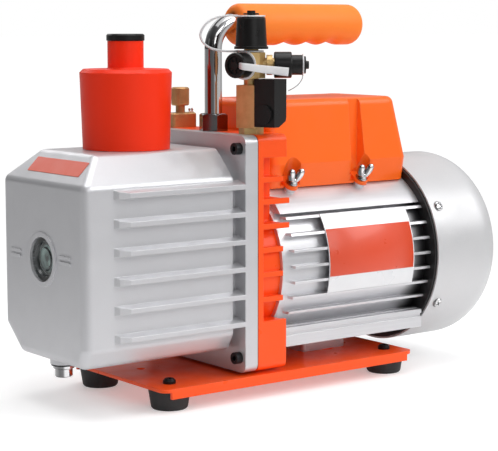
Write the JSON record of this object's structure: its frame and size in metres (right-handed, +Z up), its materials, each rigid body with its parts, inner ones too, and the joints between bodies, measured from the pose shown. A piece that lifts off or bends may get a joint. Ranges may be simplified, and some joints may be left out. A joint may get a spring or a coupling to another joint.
{
  "type": "rotary vane vacuum pump",
  "caption": "Oil-sealed rotary vane vacuum pump: finned oil tank, bracket, finned motor with fan cover, carry handle, exhaust filter and capped inlet valve.",
  "frame": {"origin": "middle of the footprint, on the plane that the rubber feet stand on", "axes": "+X from the oil tank to the fan cover, +Y across the machine away from the inlet ports, +Z up"},
  "size_m": [0.386, 0.15, 0.2855],
  "materials": {
    "cast_aluminium": "satin silver casting",
    "finned_aluminium": "bright silver extrusion",
    "clear_glass": "clear moulded lens",
    "black_rubber": "matte black",
    "bright_metal": "bright plated",
    "gasket": "matte",
    "black_screws": "black oxide",
    "filter_plastic": "satin red-orange",
    "filter_media": "pressed fibre",
    "black_plastic": "satin black",
    "chrome_tube": "polished chrome",
    "grip_plastic": "soft matte orange",
    "brass": "machined brass",
    "white_strap": "translucent white",
    "steel": "ground steel",
    "orange_paint": "gloss powder coat",
    "orange_plastic": "satin orange",
    "switch_red": "gloss red",
    "capacitor_can": "satin black",
    "lamination_steel": "laminated",
    "copper_winding": "varnished copper",
    "black_metal": "matte black",
    "fan_plastic": "moulded black",
    "grey_paint": "satin light grey",
    "label_plate": "printed plate, blank",
    "cast_iron": "machined grey iron",
    "vane_composite": "filled resin"
  },
  "bodies": {
    "pump": {"ballast_valve_body": "brass", "base_plate": "orange_paint", "capacitors": "capacitor_can", "divider_plate": "cast_iron", "fan_cover": "grey_paint", "fan_cover_screws": "bright_metal", "first_stage_cylinder": "cast_iron", "foot_screws": "black_screws", "handle_grip": "grip_plastic", "handle_nut": "bright_metal", "handle_tube": "chrome_tube", "inlet_valve_body": "brass", "motor_bearings": "steel", "motor_housing": "finned_aluminium", "nameplate": "label_plate", "oil_tank": "cast_aluminium", "power_inlet": "black_plastic", "pump_bracket": "orange_paint", "pump_end_plate": "cast_iron", "rear_end_shield": "black_metal", "rubber_feet": "black_rubber", "second_stage_cylinder": "cast_iron", "shaft_seal": "black_rubber", "sight_glass": "clear_glass", "solenoid_coil": "black_plastic", "stator_core": "lamination_steel", "stator_windings": "copper_winding", "switch_bezel": "black_plastic", "tank_gasket": "gasket", "tank_screws": "black_screws", "top_cover": "orange_plastic"},
    "shaft": {"motor_shaft": "steel", "motor_rotor": "lamination_steel", "cooling_fan": "fan_plastic", "shaft_coupling": "steel", "first_stage_rotor": "steel", "second_stage_rotor": "steel", "vane_springs": "steel"},
    "first_stage_vane_a": {"first_stage_vane_a": "vane_composite"},
    "first_stage_vane_b": {"first_stage_vane_b": "vane_composite"},
    "second_stage_vane_a": {"second_stage_vane_a": "vane_composite"},
    "second_stage_vane_b": {"second_stage_vane_b": "vane_composite"},
    "exhaust_cup": {"exhaust_cup": "filter_plastic", "exhaust_filter_element": "filter_media"},
    "exhaust_plug": {"exhaust_plug": "black_plastic"},
    "drain_plug": {"drain_plug": "bright_metal", "drain_washer": "black_rubber"},
    "ballast_knob": {"ballast_knob": "brass"},
    "wing_screw_1": {"wing_screw_1": "chrome_tube"},
    "wing_screw_2": {"wing_screw_2": "chrome_tube"},
    "wing_screw_3": {"wing_screw_3": "chrome_tube"},
    "wing_screw_4": {"wing_screw_4": "chrome_tube"},
    "top_cap": {"top_cap": "black_plastic", "top_cap_tether": "white_strap"},
    "front_cap": {"front_cap": "black_plastic", "front_cap_tether": "white_strap"},
    "side_cap": {"side_cap": "black_plastic", "side_cap_tether": "white_strap"},
    "solenoid_plunger": {"solenoid_plunger": "steel"},
    "switch_rocker": {"switch_rocker": "switch_red"}
  },
  "joints": [
    {"name": "shaft_spin", "type": "hinge", "parent": "pump", "child": "shaft", "pos_m": [0, 0, 0.091], "axis": [1, 0, 0], "continuous": true},
    {"name": "first_stage_vane_a_slide", "type": "slide", "parent": "shaft", "child": "first_stage_vane_a", "axis": [0, -1, 0], "range_m": [0, 0.0032]},
    {"name": "first_stage_vane_b_slide", "type": "slide", "parent": "shaft", "child": "first_stage_vane_b", "axis": [0, 1, 0], "range_m": [0, 0.0032]},
    {"name": "second_stage_vane_a_slide", "type": "slide", "parent": "shaft", "child": "second_stage_vane_a", "axis": [0, -1, 0], "range_m": [0, 0.0032]},
    {"name": "second_stage_vane_b_slide", "type": "slide", "parent": "shaft", "child": "second_stage_vane_b", "axis": [0, 1, 0], "range_m": [0, 0.0032]},
    {"name": "exhaust_cup_lift", "type": "slide", "parent": "pump", "child": "exhaust_cup", "axis": [0, 0, 1], "range_m": [0, 0.04]},
    {"name": "exhaust_plug_lift", "type": "slide", "parent": "exhaust_cup", "child": "exhaust_plug", "axis": [0, 0, 1], "range_m": [0, 0.025]},
    {"name": "drain_plug_drop", "type": "slide", "parent": "pump", "child": "drain_plug", "axis": [0, 0, -1], "range_m": [0, 0.016]},
    {"name": "ballast_turn", "type": "hinge", "parent": "pump", "child": "ballast_knob", "pos_m": [-0.038, 0.052, 0.215], "axis": [0, 0, 1], "range_deg": [0, 270]},
    {"name": "wing_screw_1_turn", "type": "hinge", "parent": "pump", "child": "wing_screw_1", "pos_m": [-0.0015, -0.03998, 0.15256], "axis": [0, -0.5446, 0.8387], "continuous": true},
    {"name": "wing_screw_2_turn", "type": "hinge", "parent": "pump", "child": "wing_screw_2", "pos_m": [-0.0015, 0.03998, 0.15256], "axis": [0, 0.5446, 0.8387], "continuous": true},
    {"name": "wing_screw_3_turn", "type": "hinge", "parent": "pump", "child": "wing_screw_3", "pos_m": [0.067, -0.03998, 0.15256], "axis": [0, -0.5446, 0.8387], "continuous": true},
    {"name": "wing_screw_4_turn", "type": "hinge", "parent": "pump", "child": "wing_screw_4", "pos_m": [0.067, 0.03998, 0.15256], "axis": [0, 0.5446, 0.8387], "continuous": true},
    {"name": "top_cap_lift", "type": "slide", "parent": "pump", "child": "top_cap", "axis": [0, 0, 1], "range_m": [0, 0.02]},
    {"name": "front_cap_pull", "type": "slide", "parent": "pump", "child": "front_cap", "axis": [-0.9455, -0.3256, 0], "range_m": [0, 0.016]},
    {"name": "side_cap_pull", "type": "slide", "parent": "pump", "child": "side_cap", "axis": [0.809, -0.5878, 0], "range_m": [0, 0.02]},
    {"name": "plunger_lift", "type": "slide", "parent": "pump", "child": "solenoid_plunger", "axis": [0, 0, 1], "range_m": [0, 0.004], "stiffness_N_per_m": 60},
    {"name": "rocker_rock", "type": "hinge", "parent": "pump", "child": "switch_rocker", "pos_m": [0.031, 0.0386, 0.187], "axis": [1, 0, 0], "range_deg": [-22, 0]}
  ]
}
